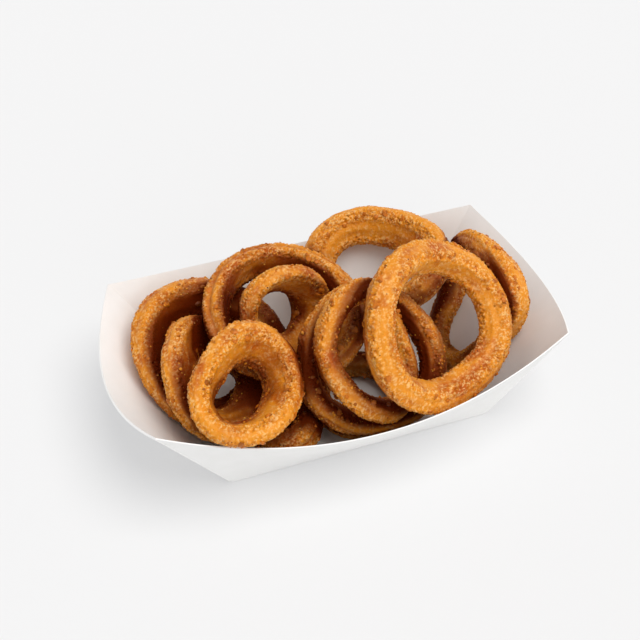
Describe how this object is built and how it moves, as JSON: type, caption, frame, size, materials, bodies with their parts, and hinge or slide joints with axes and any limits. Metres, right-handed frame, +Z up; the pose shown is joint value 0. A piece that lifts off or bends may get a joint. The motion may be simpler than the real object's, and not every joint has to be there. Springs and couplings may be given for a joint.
{
  "type": "onion rings side",
  "caption": "Battered onion rings heaped in a folded white paperboard boat tray with bowed, dipping rims and pointed corners.",
  "frame": {"origin": "middle of the tray's flat bottom, which is also the bottom middle of the whole", "axes": "+Z up, +X along the tray towards its right end, -Y towards the side it is seen from"},
  "size_m": [0.1898, 0.122, 0.082],
  "materials": {
    "paperboard": "matte white board",
    "fried_batter": "golden fried batter with a fine granular crumb, browner in its pits and edges"
  },
  "bodies": {
    "root": {"tray": "paperboard", "ring_far_left": "fried_batter", "ring_left_leaning": "fried_batter", "ring_back_left_wide": "fried_batter", "ring_front_left": "fried_batter", "ring_nested_small": "fried_batter", "ring_back_right": "fried_batter", "ring_front_right": "fried_batter", "ring_right_end": "fried_batter", "ring_middle_inner": "fried_batter", "ring_middle_outer": "fried_batter", "ring_floor_middle": "fried_batter", "ring_floor_left": "fried_batter"}
  },
  "joints": []
}
